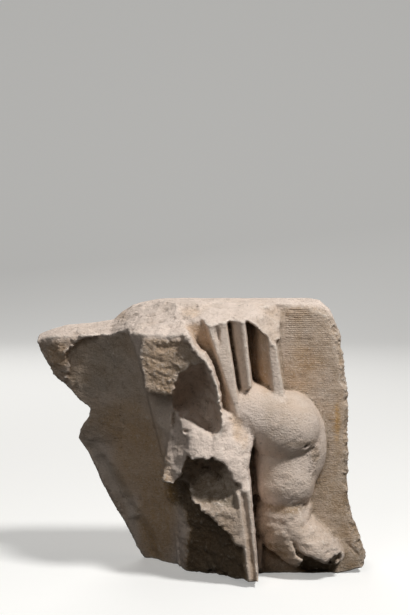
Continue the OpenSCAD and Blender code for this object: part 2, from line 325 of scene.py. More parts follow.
# grooves, and the valley beside the lip, are painted darker and browner as shade
inGroove = np.clip((skirt["pleatReach"] - front) / 8, 0, 1)
inGroove = np.maximum(inGroove, 0.8 * (x < stops(skirt["valleyEdge"], z)))
(pleatAged, grooveShade), (pleatBrown, addBrown) = skirt["agedAndShaded"], skirt["brown"]
agedAndShadedMap = np.where(skirtOn, pleatAged + grooveShade * inGroove, agedAndShadedMap).astype(np.float32)
brownMap = np.where(skirtOn, pleatBrown + addBrown * inGroove, brownMap).astype(np.float32)
roughMap = np.where(skirtOn & capped, skirt["capRough"], roughMap).astype(np.float32)
groundOn = (x > skirt["groundLeft"]) & (x < skirt["groundRight"]) & (z > 0) & (z <= hem)
paint(groundOn, skirt["groundReach"] + 0 * front)
print("skirt painted")

shaftBreaks = [
    # what is left of the shaft's smooth side, beside the stump
    {"rim": [(-81, 296, 106), (-63, 296, 130), (-63, 250, 129), (-67, 232, 128), (-65, 226, 129),
             (-62, 212, 131), (-60, 196, 132), (-62.5, 196, 115), (-64, 211, 113), (-68.5, 226, 112),
             (-72.5, 240, 109), (-79, 253, 107)], "rough": 0.2, "agedAndShaded": 0.1, "ragged": 0},
    # rough face of the stump
    {"rim": [(-63, 296, 130), (-17, 296, 143), (-17, 256, 142), (-10, 247, 142), (-1, 234, 143),
             (0, 228, 143), (-14, 223, 141), (-25, 216, 139), (-31, 205, 138), (-32, 194.5, 138),
             (-46, 193.5, 136), (-58, 194.5, 133), (-60, 196, 132), (-62, 212, 131), (-65, 226, 129),
             (-67, 232, 128), (-63, 250, 129)],
     "inside": [(-45, 225, 134), (-48, 245, 132), (-42, 205, 136), (-22, 235, 140), (-32, 248, 136)],
     "rough": 0.6, "agedAndShaded": 0.75, "brown": 0.65},
    # thin lip between the hollow and the skirt
    {"rim": [(-24, 296, 150), (-22, 254, 150), (-12.5, 242, 150), (-3.5, 232.5, 149.5), (3, 224, 149),
             (7, 213, 148.5), (11.5, 199, 148), (14.5, 185, 147), (17, 176, 144), (17, 190, 143.5),
             (16, 199, 143.5), (11.5, 214, 143.5), (7.5, 226, 144), (3, 235.5, 144), (-5, 241, 144.5),
             (-12, 251, 145), (-18, 260, 146), (-19, 296, 146)],
     "rough": 0.3, "agedAndShaded": 0.05},
    # smooth left face under the stump
    {"rim": [(-61, 194, 94), (-46, 193, 101), (-32, 194, 108), (-33, 188, 108), (-31, 176, 107),
             (-26, 171, 108), (-34, 160, 105), (-36, 150, 104), (-42, 122, 104), (-44, 121, 80),
             (-49, 142, 82), (-55, 165, 86), (-60, 190, 90)],
     "rough": 0.12, "agedAndShaded": 0.42, "brown": 0.55, "ragged": 0},
    # rougher swelling below it
    {"rim": [(-34, 160, 107), (-26, 171, 115), (-22, 157, 124), (-18, 140, 132), (-15, 128, 138),
             (-16, 122, 136), (-24, 111, 132), (-29, 104, 130), (-37, 102.5, 126), (-46, 103, 121),
             (-43, 121, 116), (-37, 150, 108)],
     "inside": [(-30, 130, 124), (-35, 112, 124)], "rough": 0.45, "agedAndShaded": 0.25, "brown": 0.6},
    # oval hollow
    {"rim": [(-2, 228, 139), (-14, 223, 128), (-25, 216, 116), (-31, 205, 108), (-33, 190, 103),
             (-31, 176, 100), (-26, 171, 110), (-18, 168, 114), (-10, 163, 119), (0, 157, 125),
             (8, 153, 129), (13, 157, 132), (15.5, 168, 136), (16.5, 178, 142), (14.5, 187, 146),
             (11, 202, 147.5), (6, 217, 148), (2, 227, 148)],
     "inside": [(-26, 205, 96), (-28, 190, 92), (-25, 178, 92), (-14, 213, 100), (-13, 196, 84),
                (-11, 181, 82), (-2, 218, 112), (1, 203, 93), (3, 188, 88), (2, 173, 90), (-7, 171, 90),
                (8.5, 177, 102), (8, 192, 100), (4, 209, 112), (2, 162, 97), (11, 167, 110)],
     "rough": 0.07, "smooth": 0.2, "agedAndShaded": 0.3, "brown": 0.4},
    # scooped break under the swelling, painted dark: partly old skin, partly painted shade
    {"rim": [(-19, 131, 110), (-10, 133, 105), (-2, 135, 103), (7, 134, 107), (18, 130, 119),
             (26, 123, 134), (31, 115, 141), (35, 106, 146), (37, 97, 148), (38, 78, 149),
             (14, 84, 141), (-4, 85, 131), (-15, 90, 122), (-20, 100, 100), (-23, 109, 98),
             (-21, 120, 102)],
     "inside": [(0, 114, 90), (12, 108, 103), (-10, 106, 93), (21, 97, 131), (6, 97, 114),
                (28, 95, 139), (-8, 96, 108), (14, 90, 131), (2, 91, 122), (22, 110, 128),
                (10, 120, 104), (-8, 120, 96)],
     "rough": 0.5, "agedAndShaded": 0.92, "brown": 0.3},
    # broken swelling that falls forward from the hollow
    {"rim": [(-26, 171, 121), (-18, 168, 124), (-10, 163, 129), (0, 157, 135), (8, 153, 139),
             (13, 157, 141), (16, 168, 143), (17, 178, 144), (20, 178, 132), (26, 174, 127),
             (32, 167, 126), (36, 178, 124), (42, 176, 124), (49, 168, 120), (52, 157, 118),
             (50, 145, 125), (46, 125, 134), (45.5, 112, 140), (47, 99, 149), (36, 99, 149),
             (33, 105, 149), (28.5, 110, 149), (27, 116, 149), (22, 119.5, 149.5), (17, 127, 149.5),
             (12, 127.5, 149), (7, 131.5, 149), (2, 129, 149), (-3, 132, 148), (-10, 129.5, 147),
             (-15, 128, 142), (-18, 140, 136), (-22, 157, 127)],
     "inside": [(-14, 150, 136), (-6, 142, 142), (2, 146, 141), (12, 144, 144), (22, 158, 136),
                (35, 140, 140), (38, 120, 147), (28, 165, 128), (42, 155, 129), (22, 133, 148),
                (8, 136, 147), (42, 138, 135)],
     "rough": 0.26, "agedAndShaded": 0.0, "brown": 0.2},
    # steep dark break that undercuts it, painted darkest: partly old skin, partly painted shade
    {"rim": [(-12, 79, 92), (-4, 80, 120), (9, 73, 126), (25, 55, 133), (37, 42.5, 139), (42, 35, 144),
             (44, 18, 147), (46, -9, 147), (21, -9, 108), (0, -9, 84), (-20, -9, 71), (-20, 8, 73),
             (-19, 30, 76), (-16, 49, 79), (-22, 65, 79)],
     "inside": [(2, 62, 98), (18, 36, 110), (-2, 30, 85), (30, 16, 130), (8, 46, 94)], "rough": 0.55,
     "agedAndShaded": 1.25, "brown": 0.4},
    # long facet from it down to the nose
    {"rim": [(-15, 90, 126), (-4, 85, 133), (14, 84, 142), (38, 78, 149), (39, 60, 149), (42, 32, 149),
             (40, 38, 149), (35, 41, 149), (23, 53, 148), (7, 71, 145), (-5, 78, 140), (-14, 85, 133)],
     "inside": [(16, 76, 145)], "rough": 0.45, "agedAndShaded": 0.52, "brown": 0.55},
    # shadowed ground under the swelling, painted dark as its shade
    {"rim": [(-46, 102, 66), (-37, 102, 74), (-29, 103, 84), (-23, 110, 92), (-19, 100, 94),
             (-15, 90, 96), (-12, 77, 92), (-22, 65, 79), (-28, 70, 66), (-34, 66, 58), (-39, 76, 60),
             (-42, 87, 63)],
     "inside": [(-25, 90, 78), (-18, 80, 82)], "rough": 0.7, "agedAndShaded": 1.0, "brown": 0.4},
    # low face between the wall and the steep break, painted pale as light where it lies in shade
    {"rim": [(-34, 66, 58), (-31, 72, 63), (-28, 70, 66), (-22, 65, 79), (-16, 49, 80), (-19, 30, 77),
             (-20, 8, 73), (-20, -9, 72), (-26, -9, 47), (-26, 4, 48)],
     "inside": [(-28, 50, 66), (-25, 25, 65)], "rough": 0.3, "agedAndShaded": 0.2, "brown": 0.9},
    # worn arris down its left edge
    {"rim": [(-35, 67, 58), (-32, 72, 64), (-29, 30, 58), (-25.5, -9, 53), (-28.5, -9, 51), (-32, 30, 54)],
     "rough": 0.15, "agedAndShaded": 0.0, "ragged": 0.4},
]
for facet in shaftBreaks:
    paintFacet(facet)
print("shaft painted")

footBreaks = [
    # instep and the block of toes
    {"rim": [(50, 84, 72), (64, 86, 96), (84, 86, 108), (100, 84, 102), (110, 80, 88), (111, 73, 88),
             (112.5, 65, 92), (116.5, 57, 98), (122.5, 50.5, 102), (130, 44.5, 105), (137, 38.5, 107),
             (142, 32.5, 108), (145, 26.5, 107), (143, 25, 109), (141, 28, 112), (133.5, 27.5, 118),
             (129.5, 24.5, 120), (128.5, 20.5, 122), (126.5, 17, 123), (118.5, 20.5, 125),
             (111, 24, 126), (106, 26, 126), (101, 25.5, 121), (98, 29, 121), (93.5, 34.5, 121),
             (88.5, 43, 119), (80, 50, 117), (66, 58, 110), (56, 60, 98), (49, 62, 84)],
     "inside": [(66, 72, 110), (84, 74, 118), (98, 73, 113), (106, 66, 103), (100, 60, 118),
                (84, 60, 119), (99, 46, 122), (110, 36, 125), (120, 30, 124), (112, 52, 113),
                (120, 45, 115), (128, 38, 115), (136, 33, 113), (106, 58, 112)],
     "rough": 0.35, "smooth": 0.35, "agedAndShaded": 0.3},
    # toes on the left of the cleft
    {"rim": [(49, 62, 84), (56, 60, 98), (66, 58, 110), (80, 50, 117), (88.5, 43, 121), (93, 34, 123),
             (97, 27, 124), (101, 20, 124), (97, 13, 116), (95, 11, 112), (87.5, 13.5, 108),
             (77.5, 20, 102), (67.5, 27, 95), (59.5, 35, 88), (48, 44, 80)],
     "inside": [(70, 46, 110), (80, 38, 115), (88, 28, 119), (94, 20, 119)], "rough": 0.4, "smooth": 0.3,
     "agedAndShaded": 0.55},
    # cleft between the toes, painted dark as shade
    {"rim": [(87.5, 43, 114), (89.5, 43, 113), (94, 35, 112), (98.5, 29.5, 112), (103, 25.5, 113),
             (102, 20.5, 113), (99.5, 22, 113), (95.5, 28, 112), (91, 35.5, 112)],
     "rough": 0.1, "agedAndShaded": 0.9, "brown": 0.6},
    # chip in the end of the right toe, painted dark as shade
    {"rim": [(128.5, 20.5, 114), (129.5, 24.5, 116), (133.5, 27.5, 114), (141, 28, 108), (143, 25, 106),
             (140, 20, 103), (132, 16, 106)],
     "inside": [(136, 22, 105)], "rough": 0.4, "agedAndShaded": 0.9, "brown": 0.4},
    # thin rim left round the chip
    {"rim": [(142.5, 25.5, 108), (145, 27, 107), (145.5, 22, 106), (141, 16, 107), (134, 13, 110),
             (133, 16, 111), (139, 20, 108)], "rough": 0.3, "agedAndShaded": 0.5},
    # broken undersides of the toes, painted dark as shade
    {"rim": [(102, 22, 108), (106, 26, 112), (111, 24, 113), (118.5, 20.5, 112), (126.5, 17, 109),
             (133, 14, 104), (131, 5, 84), (119, 2, 80), (106, 2, 82), (98, 8, 94), (99, 15, 102)],
     "rough": 0.5, "agedAndShaded": 1.2, "brown": 0.4},
]
for facet in footBreaks:
    paintFacet(facet)
print("foot painted")

wanderSize = 1.15  # millimetres that a broken edge wanders, at the most ragged breaks


def wanderFrom(cells, layer):
    # where along one side of the map each place is taken from, shifted by one layer of the noise
    shift = np.repeat(np.repeat(grit[:, layer, :] + 0.6 * roughBreak[:, layer, :], 2, 0), 2, 1)
    shift = soften(shift, 0.8) * (soften(raggedMap, 1.5) * wanderSize / mapGrain)
    return np.clip(np.rint(cells + shift).astype(int), 0, cells.size - 1)


fromRow = wanderFrom(np.arange(mapAcross.size)[:, None], 10)
fromLevel = wanderFrom(np.arange(mapLevel.size)[None, :], 60)
reliefMap, roughMap, smoothMap, agedAndShadedMap, brownMap = [
    field[fromRow, fromLevel] for field in (reliefMap, roughMap, smoothMap, agedAndShadedMap, brownMap)]

# moulded strip down the nose: two fillets with a groove between them
nose = {
    "left": [(0, 43.5), (98, 31)],
    "innerFillet": 4.5,
    "groove": 5,
    "right": [(0, 55.5), (12, 54.5), (98, 47)],
    "grooveDepth": 3.4,
    "front": 149.6,
    "end": 101,
    "grooveEnd": 97,
}
left, right = stops(nose["left"], z), stops(nose["right"], z)
stripOn = (x > left) & (x < right) & (z < nose["end"])
paint(stripOn, nose["front"] + 0 * front, rough=0.1)
grooveLeft = left + nose["innerFillet"]
grooveOn = stripOn & (x > grooveLeft) & (x < grooveLeft + nose["groove"]) & (z < nose["grooveEnd"])
# the groove is painted darker and browner as shade
paint(grooveOn, nose["front"] - nose["grooveDepth"] + 0 * front, rough=0.12, agedAndShaded=0.55, brown=0.8)
print("strip painted")

marks = {
    # soft-edged patches: (across, level, half width, half height, amount)
    "tooled": [(82, 140, 50, 58, 0.09), (112, 133, 9, 9, 0.5), (111, 118, 6, 15, 0.5),
               (86, 96, 26, 22, 0.28), (129, 38, 14, 9, 0.7), (92, 22, 12, 9, 0.5),
               (48, 160, 8, 16, 0.2), (28, 166, 9, 6, 0.3)],
    # stains; the three largest patches on the wall are partly stain and partly painted warm bounce light
    "stainsAndBounce": [(33, 160, 6, 15, 0.4), (29, 170, 6, 5, 0.35), (138, 160, 2.2, 27, 1.0),
                (97, 240, 7, 42, 0.1), (40, 150, 5, 12, 0.3), (116, 221, 14, 8, 0.15),
                (-72, 120, 34, 60, 0.55), (-52, 60, 26, 90, 0.62), (-84, 154, 34, 30, 0.4),
                (142, 230, 3, 30, 0.2), (-15, 276, 12, 5, 0.3), (-95, 268, 14, 6, 0.25),
                (25, 262, 5, 4, 0.3), (-158, 226, 14, 18, 0.4)],
    # patches on and beside the leg, darkened as painted shade
    "paintedShade": [(82, 76, 26, 8, 0.45), (60, 100, 8, 40, 0.15), (114, 130, 6, 10, 0.4),
                 (100, 144, 22, 4, 0.3), (76, 30, 14, 14, 0.3)],
    # pits and chips: (across, level, half width, half height, depth)
    "pits": [(-19, 157, 4, 1.8, 7), (14, 252, 1.2, 11, 5), (-88, 68, 2.5, 3.5, 3),
             (-105, 188, 3, 4, 2.5), (-128, 178, 3, 3, 2), (-70, 67, 2, 6, 2), (33.5, 101, 3.5, 5, 6),
             (134, 257, 2.5, 5, 3), (115, 279, 3.5, 2.5, 3), (-47, 18, 2, 2, 1.5), (12, 257, 2.5, 8, 4),
             (56, 232, 2, 5, 2), (-96, 214, 4, 3, 1.6), (-140, 190, 4, 3, 3), (62, 246, 3, 6, 2.5),
             (-6, 151, 1, 6, 1.5)],
    # cracks: a chain of (across, level), half width, depth
    "cracks": [([(-32, 173), (-32, 166), (-33, 159)], 2.2, 9),
               ([(147, 35), (152, 28), (160, 20)], 1.2, 3),
               ([(33, 146), (36, 138), (39, 131)], 1.1, 2.5),
               ([(8, 150), (5, 143), (9, 137)], 0.9, 1.5),
               ([(110, 56), (114.5, 51.5), (118.5, 49.5), (123.5, 47), (128, 42)], 1.6, 5),
               ([(92, 44), (84, 52)], 1.4, 2),
               ([(-100, 238), (-108, 231), (-111, 222)], 1.0, 1.2),
               ([(-116, 130), (-102, 124), (-92, 126)], 0.9, 1.2)],
}


def fromMiddle(across0, level0, halfWidth, halfHeight):
    # 0 at the middle of an oval patch, 1 at its rim, and growing as the square
    return ((mapAcross - across0) / halfWidth) ** 2 + ((mapLevel - level0) / halfHeight) ** 2


def patches(spots, rise):
    field = np.zeros_like(reliefMap)
    for *oval, amount in spots:
        field = np.maximum(field, amount * np.clip(rise - rise * fromMiddle(*oval), 0, 1))
    return field


roughMap = np.maximum(roughMap, patches(marks["tooled"], 1.6))
ochreMap = patches(marks["stainsAndBounce"], 1.5)
paintedShadeMap = patches(marks["paintedShade"], 1.5)
for *oval, depth in marks["pits"]:
    reliefMap = reliefMap - depth * np.sqrt(np.clip(1 - fromMiddle(*oval), 0, 1))
for chain, half, depth in marks["cracks"]:
    for (ax, az), (bx, bz) in zip(chain, chain[1:]):
        run = (bx - ax) ** 2 + (bz - az) ** 2
        along = np.clip(((mapAcross - ax) * (bx - ax) + (mapLevel - az) * (bz - az)) / run, 0, 1)
        gone = np.hypot(mapAcross - ax - along * (bx - ax), mapLevel - az - along * (bz - az)) / half
        reliefMap = reliefMap - depth * np.clip(1 - gone, 0, 1)
print("marks painted")

crisp = soften(reliefMap, 0.7)
worn = soften(reliefMap, 2.6)
reliefMap = crisp + (worn - crisp) * soften(smoothMap, 2.0)
slopeAcross, slopeUp = np.gradient(reliefMap, mapGrain)
slant = 1 / np.sqrt(1 + slopeAcross ** 2 + slopeUp ** 2)
roughMap = soften(roughMap, 1.2)
agedAndShadedMap = soften(agedAndShadedMap, 2.2)
brownMap = soften(brownMap, 3)
ochreMap = soften(ochreMap, 1.2)


def onGrid(field):
    # a map at the carving grid's spacing, the same at every reach
    return field[::2, ::2][:, None, :]


def window(low, high, pad=6):
    # slices of the grid that cover a box of (across, reach, level)
    cut = []
    for axis, lo, hi in zip((across, reach, level), low, high):
        flat = axis.ravel()
        cut.append(slice(int(np.searchsorted(flat, lo - pad)), int(np.searchsorted(flat, hi + pad))))
    return tuple(cut)


def blendMin(a, b, soft):
    # the lesser of two fields, rounded over soft millimetres where they cross
    h = np.clip(0.5 + 0.5 * (b - a) / soft, 0, 1)
    return b + (a - b) * h - soft * h * (1 - h)


def add(low, high, shape, soft):
    # joins a shape to the stone inside a box
    cut = window(low, high, 6 + soft)
    solid = shape(across[cut[0]], reach[:, cut[1]], level[:, :, cut[2]])
    stone[cut] = blendMin(stone[cut], solid, soft)


def carve(low, high, shape, soft, rough=0.0):
    # takes a shape out of the stone inside a box
    cut = window(low, high, 6 + soft)
    hollow = -shape(across[cut[0]], reach[:, cut[1]], level[:, :, cut[2]])
    if rough:
        hollow = hollow + rough * roughBreak[cut]
    stone[cut] = -blendMin(-stone[cut], -hollow, soft)


def egg(centre, half, lean=0.0):
    # ellipsoid round (across, reach, level), leaning sideways by lean degrees
    cl, sl = math.cos(math.radians(lean)), math.sin(math.radians(lean))

    def shape(x, r, z):
        u, v, w = x - centre[0], r - centre[1], z - centre[2]
        u, w = cl * u + sl * w, -sl * u + cl * w
        k = np.sqrt((u / half[0]) ** 2 + (v / half[1]) ** 2 + (w / half[2]) ** 2)
        g = np.sqrt((u / half[0] ** 2) ** 2 + (v / half[1] ** 2) ** 2 + (w / half[2] ** 2) ** 2)
        return k * (k - 1) / np.maximum(g, 1e-4)
    return shape


def limb(a, b):
    # round bar between two balls, each (across, reach, level, radius)
    pa, pb = np.array(a[:3], float), np.array(b[:3], float)
    run = pb - pa

    def shape(x, r, z):
        t = ((x - pa[0]) * run[0] + (r - pa[1]) * run[1] + (z - pa[2]) * run[2]) / np.dot(run, run)
        t = np.clip(t, 0, 1)
        gone = np.sqrt((x - pa[0] - t * run[0]) ** 2 + (r - pa[1] - t * run[1]) ** 2
                       + (z - pa[2] - t * run[2]) ** 2)
        return gone - (a[3] + (b[3] - a[3]) * t)
    return shape


stone = (reach - onGrid(reliefMap)) * onGrid(slant)
edge = onGrid(outlineDistance(silhouette, mapAcross, mapLevel))
stone = np.maximum(stone, edge).astype(np.float32)
print("block cut")

leg = {
    # rounded shapes joined in turn: lowest and highest corner of the room for each, the shape, and how
    # softly it joins, with places as (across, reach, level)
    "calf": [(40, 40, 70), (130, 125, 195), egg((88, 84, 138), (39, 30, 56)), 1.5],
    "shin": [(40, 40, 40), (130, 140, 150), limb((84, 89, 122, 32), (84, 93, 98, 30)), 4],
    "thigh": [(0, 60, 120), (130, 150, 215), limb((44, 98, 174, 31), (78, 98, 162, 34)), 3],
    "knee": [(40, 60, 100), (130, 150, 205), egg((82, 98, 157), (37, 35, 37), lean=-12), 2],
}
for low, high, shape, soft in leg.values():
    add(low, high, shape, soft)

# small chips in the knee: middle, as (across, reach, level), and half sizes
kneeChips = [((92, 131.5, 146), (5, 1.6, 2.6)), ((98, 129.5, 150), (3, 1.6, 3)),
             ((64, 130, 154), (5, 1.4, 2)), ((70, 132, 151), (4, 1.3, 1.6)),
             ((104, 121, 141), (4, 2.2, 2)), ((84, 131.5, 136), (4, 1.8, 1.6))]
for centre, half in kneeChips:
    low, high = [[c + side * h for c, h in zip(centre, half)] for side in (-1, 1)]
    carve(low, high, egg(centre, half), soft=0.6, rough=0.7)
print("leg added")

# broken top: level along the back, reach where it begins to fall, and how steeply it falls forward
topCut = {
    "back": [(-185, 244), (-180, 246), (-165, 252), (-150, 256), (-120, 259), (-99, 262), (-90, 270),
             (-80, 277), (-68, 281), (-50, 284), (-30, 285.5), (30, 285), (112, 285.5), (125, 283),
             (134, 273), (142, 255)],
    "start": [(-100, 0), (-80, 5), (-66, 22), (-50, 45), (-30, 74), (-15, 79), (46, 84), (72, 86),
              (86, 200)],
    "fall": [(-100, 0.2), (-80, 0.22), (-66, 0.235), (-50, 0.31), (-30, 0.47), (-15, 0.43), (-4, 0.37),
             (60, 0.35)],
}


def topShape(x, r, z):
    top = stops(topCut["back"], x) - stops(topCut["fall"], x) * np.maximum(0, r - stops(topCut["start"], x))
    return (top - z) * 0.93  # 0.93 makes it close to a true distance on that slope


def plane(point, normal):
    # half of space in front of a plane through point, both (across, reach, level)
    n = np.array(normal, float) / np.linalg.norm(normal)
    return lambda x, r, z: -(n[0] * (x - point[0]) + n[1] * (r - point[1]) + n[2] * (z - point[2]))


def lastFoldSlope(x, r, z):
    # broken slope beside the skirt's last fold, which stops at the slab's face
    slope = plane((69.4, 119, 243.7), (0.61, 0.6, 0.52))
    return np.maximum(slope(x, r, z), slab["reach"] - r)


carve((-185, 0, 225), (142, 152, block["height"]), topShape, soft=1.2)
carve((42, 76, 236), (90, 150, block["height"]), lastFoldSlope, soft=0.8, rough=0.35)
carve((-26, 92, 0), (58, 150, 10), plane((20, 110, 5), (0, 0.02, -1)), soft=0.8, rough=0.4)  # under the nose
print("top broken")


def surfaceOf(field):
    # points and four-sided faces of the surface where a grid field is nought, in cells
    grid = openvdb.FloatGrid(4.0)
    grid.copyFromArray(np.clip(field / block["grain"], -4, 4).astype(np.float32))
    points, _, fours = grid.convertToPolygons(isovalue=0.0, adaptivity=0.0)
    return points, fours


def trueDistance(field):
    # the same surface as a field of true distances, so that roughening it can't tear steep steps
    points, fours = surfaceOf(field)
    grid = openvdb.FloatGrid.createLevelSetFromPolygons(points, quads=fours, halfWidth=5.0)
    result = np.empty(gridSize, np.float32)
    grid.copyToArray(result)
    return result * block["grain"]


breaks = {
    "top": 0.42,  # how rough the broken top is
    "outerEdge": 0.3,  # and the broken edges all round
    "bedded": 0.85,  # millimetres of each kind of noise on the roughest break
    "gritty": 0.55,
    "worn": 0.2,  # millimetres of gentle unevenness everywhere
    "flatBack": 12,  # nearer the wall face than this, roughness fades away
}
backFade = np.clip(reach / breaks["flatBack"], 0, 1)
nearTop = np.clip(1.4 - topShape(across, reach, level) / 4, 0, 1)
outerEdge = np.clip((edge + 4) / 4, 0, 1)
roughness = np.maximum(breaks["top"] * nearTop, breaks["outerEdge"] * outerEdge)
roughness = np.maximum(onGrid(roughMap) * (1 - nearTop), roughness) * backFade
stone = trueDistance(stone)
stone += (roughness * (breaks["bedded"] * roughBreak + breaks["gritty"] * grit)
          + softWear * breaks["worn"] * backFade)
stone += nearTop * backFade * np.maximum(0, softWear + 0.3)
stone[:] = np.maximum(stone, np.maximum(-reach, -level))  # flat back and underside
stone[:] = np.maximum(stone, level - block["height"])
print("stone roughened")

points, fours = surfaceOf(stone)
placed = np.empty((len(points), 3), np.float32)
placed[:, 0] = (across.ravel()[0] + points[:, 0] * block["grain"]) * mm
placed[:, 1] = -(reach.ravel()[0] + points[:, 1] * block["grain"]) * mm
placed[:, 2] = (level.ravel()[0] + points[:, 2] * block["grain"]) * mm + stoneLow[2]
mesh = bpy.data.meshes.new("corbelStone")
mesh.from_pydata(placed.tolist(), [], fours.tolist())
piece = bpy.data.objects.new("corbelStone", mesh)
bpy.context.collection.objects.link(piece)
print("surface made of", len(fours), "faces")


def plainMesh(thing, name):
    # turns the evaluated object into a plain mesh, with its modifiers gone
    graph = bpy.context.evaluated_depsgraph_get()
    result = bpy.data.meshes.new_from_object(thing.evaluated_get(graph), depsgraph=graph)
    result.name = name
    thing.modifiers.clear()
    thing.data = result


def meshNumbers(data, kind, field, width, number):
    # one property of all the mesh's vertices or triangles, as rows of numbers
    values = np.empty(len(getattr(data, kind)) * width, number)
    getattr(data, kind).foreach_get(field, values)
    return values.reshape(-1, width)


def signedVolume(data):
    data.calc_loop_triangles()
    corners = meshNumbers(data, "vertices", "co", 3, float)
    corners = corners[meshNumbers(data, "loop_triangles", "vertices", 3, int)]
    return np.einsum("ij,ij->i", corners[:, 0], np.cross(corners[:, 1], corners[:, 2])).sum() / 6


thin = piece.modifiers.new("thin", "DECIMATE")
thin.ratio = min(1.0, block["faces"] / (2 * len(fours)))
plainMesh(piece, "corbelStone")
if signedVolume(piece.data) < 0:
    piece.data.flip_normals()
print("thinned to", len(piece.data.polygons), "faces")


def addNode(tree, kind, settings=None, **links):
    # adds a node, sets its properties, and joins or sets its inputs by name, or by number as i0, i1
    node = tree.nodes.new(kind)
    for name, value in (settings or {}).items():
        setattr(node, name, value)
    for name, value in links.items():
        socket = node.inputs[int(name[1:])] if name[0] == "i" and name[1:].isdigit() else node.inputs[name]
        if isinstance(value, bpy.types.NodeSocket):
            tree.links.new(value, socket)
        else:
            socket.default_value = value
    return node


# fine ridges that a comb left across the slab, laid on its face; sizes in metres
comb = {
    "Rows": 105,
    "Pitch": 0.0021,  # the real comb's teeth are nearer 2 mm; a little coarser so that they show
    "Left": 0.084,
    "Right": 0.14,
    "Foot": stoneLow[2] + 0.06,
    "Front": stoneLow[1] + (block["reach"] - slab["reach"] - 5) * mm,
    "Reach": 0.009,  # how far behind that start the ridges may find the slab
    "Thickness": 0.00075,
    "Faint": 0.35,  # how much of that thickness is left on the lower part
    "Wobble": 0.0006,
    "Strays": 60.0,  # how often in a metre a ridge strays, and how often it thins
    "Thins": 45.0,
    "Seed": 4.0,
}


def combTree(stoneMaterial):
    tree = bpy.data.node_groups.new("combRidges", "GeometryNodeTree")
    tree.interface.new_socket("Geometry", in_out="INPUT", socket_type="NodeSocketGeometry")
    tree.interface.new_socket("Stone", in_out="INPUT", socket_type="NodeSocketObject")
    for name, value in comb.items():
        kind = "NodeSocketInt" if name == "Rows" else "NodeSocketFloat"
        tree.interface.new_socket(name, in_out="INPUT", socket_type=kind).default_value = value
    tree.interface.new_socket("Geometry", in_out="OUTPUT", socket_type="NodeSocketGeometry")
    given = addNode(tree, "NodeGroupInput").outputs
    start = addNode(tree, "ShaderNodeCombineXYZ", None, X=0.0, Y=given["Front"], Z=given["Foot"])
    step = addNode(tree, "ShaderNodeCombineXYZ", None, Z=given["Pitch"])
    rows = addNode(tree, "GeometryNodeMeshLine", None, Count=given["Rows"], Offset=step.outputs[0],
                   **{"Start Location": start.outputs[0]})
    left = addNode(tree, "ShaderNodeCombineXYZ", None, X=given["Left"])
    right = addNode(tree, "ShaderNodeCombineXYZ", None, X=given["Right"])
    stroke = addNode(tree, "GeometryNodeCurvePrimitiveLine", None,
                     Start=left.outputs[0], End=right.outputs[0])
    stroke = addNode(tree, "GeometryNodeResampleCurve", None, Curve=stroke.outputs[0], Count=20)
    laid = addNode(tree, "GeometryNodeInstanceOnPoints", None,
                   Points=rows.outputs[0], Instance=stroke.outputs[0])
    laid = addNode(tree, "GeometryNodeRealizeInstances", None, Geometry=laid.outputs[0])
    place = addNode(tree, "GeometryNodeInputPosition").outputs[0]
    waver = addNode(tree, "ShaderNodeTexNoise", {"noise_dimensions": "4D"}, Vector=place, W=given["Seed"],
                    Scale=given["Strays"])
    waver = addNode(tree, "ShaderNodeMath", {"operation": "SUBTRACT"}, i0=waver.outputs[0], i1=0.5)
    waver = addNode(tree, "ShaderNodeMath", {"operation": "MULTIPLY"}, i0=waver.outputs[0],
                    i1=given["Wobble"])
    shift = addNode(tree, "ShaderNodeCombineXYZ", None, Z=waver.outputs[0])
    laid = addNode(tree, "GeometryNodeSetPosition", None, Geometry=laid.outputs[0], Offset=shift.outputs[0])
    target = addNode(tree, "GeometryNodeObjectInfo", None, Object=given["Stone"])
    place = addNode(tree, "GeometryNodeInputPosition").outputs[0]
    touch = addNode(tree, "GeometryNodeRaycast", None, **{"Target Geometry": target.outputs["Geometry"],
                    "Source Position": place, "Ray Direction": (0, 1, 0), "Ray Length": given["Reach"]})
    missed = addNode(tree, "FunctionNodeBooleanMath", {"operation": "NOT"}, i0=touch.outputs["Is Hit"])
    laid = addNode(tree, "GeometryNodeSetPosition", None, Geometry=laid.outputs[0],
                   Selection=touch.outputs["Is Hit"], Position=touch.outputs["Hit Position"])
    laid = addNode(tree, "GeometryNodeDeleteGeometry", None, Geometry=laid.outputs[0],
                   Selection=missed.outputs[0])
    width = addNode(tree, "ShaderNodeTexNoise", {"noise_dimensions": "4D"}, Vector=place, W=given["Seed"],
                    Scale=given["Thins"])
    width = addNode(tree, "ShaderNodeMapRange", None, i0=width.outputs[0], i1=0.35, i2=0.6, i3=0.3)
    width = addNode(tree, "ShaderNodeMath", {"operation": "MULTIPLY"}, i0=width.outputs[0],
                    i1=given["Thickness"])
    height = addNode(tree, "ShaderNodeSeparateXYZ", None, Vector=place).outputs["Z"]
    keep = addNode(tree, "ShaderNodeMapRange", None, i0=height, i1=-0.03, i2=0.03, i3=given["Faint"])
    width = addNode(tree, "ShaderNodeMath", {"operation": "MULTIPLY"}, i0=width.outputs[0],
                    i1=keep.outputs[0])
    section = addNode(tree, "GeometryNodeCurvePrimitiveCircle", None, Resolution=4, Radius=0.5)
    ridges = addNode(tree, "GeometryNodeCurveToMesh", None, Curve=laid.outputs[0],
                     Scale=width.outputs[0], **{"Profile Curve": section.outputs[0], "Fill Caps": True})
    ridges = addNode(tree, "GeometryNodeRealizeInstances", None, Geometry=ridges.outputs[0])
    ridges = addNode(tree, "GeometryNodeSetMaterial", None, Geometry=ridges.outputs[0],
                     Material=stoneMaterial)
    addNode(tree, "NodeGroupOutput", None, Geometry=ridges.outputs[0])
    return tree


